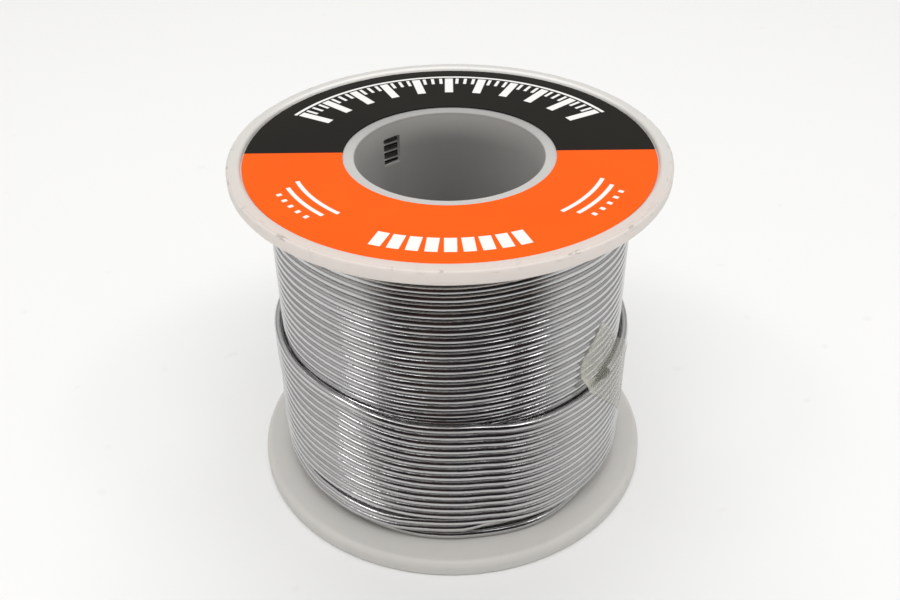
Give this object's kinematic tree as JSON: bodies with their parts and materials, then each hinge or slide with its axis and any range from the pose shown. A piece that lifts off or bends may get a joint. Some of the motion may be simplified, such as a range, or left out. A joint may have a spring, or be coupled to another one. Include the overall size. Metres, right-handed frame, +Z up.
{
  "type": "solder wire spool",
  "caption": "Flanged plastic spool with a through bore, wound with shiny solder wire, with a ring label on top and a peelable tape tab holding the wire's free end.",
  "frame": {"origin": "centre of the foot circle, on the surface that the spool stands on", "axes": "+Z up along the axis of the bore, -Y to the front of the picture, +X to its right, towards the tape tab"},
  "size_m": [0.0486, 0.0486, 0.0417],
  "materials": {
    "white_plastic": "satin white, slightly translucent",
    "label_print": "satin printed film, black and orange halves",
    "solder": "bright drawn tin alloy wire",
    "clear_tape": "clear, slightly yellow film"
  },
  "bodies": {
    "spool": {"hub_tube": "white_plastic", "top_flange": "white_plastic", "bottom_flange": "white_plastic", "top_label": "label_print", "wound_core": "solder", "under_layer_turns": "solder", "last_layer_turns": "solder"},
    "tape": {"tape_tab": "clear_tape"}
  },
  "joints": [
    {"name": "tape_peel", "type": "hinge", "parent": "spool", "child": "tape", "pos_m": [0.02137, -0.00236, 0.01016], "axis": [0.0776, 0.7019, 0.708], "range_deg": [0, 80]}
  ]
}
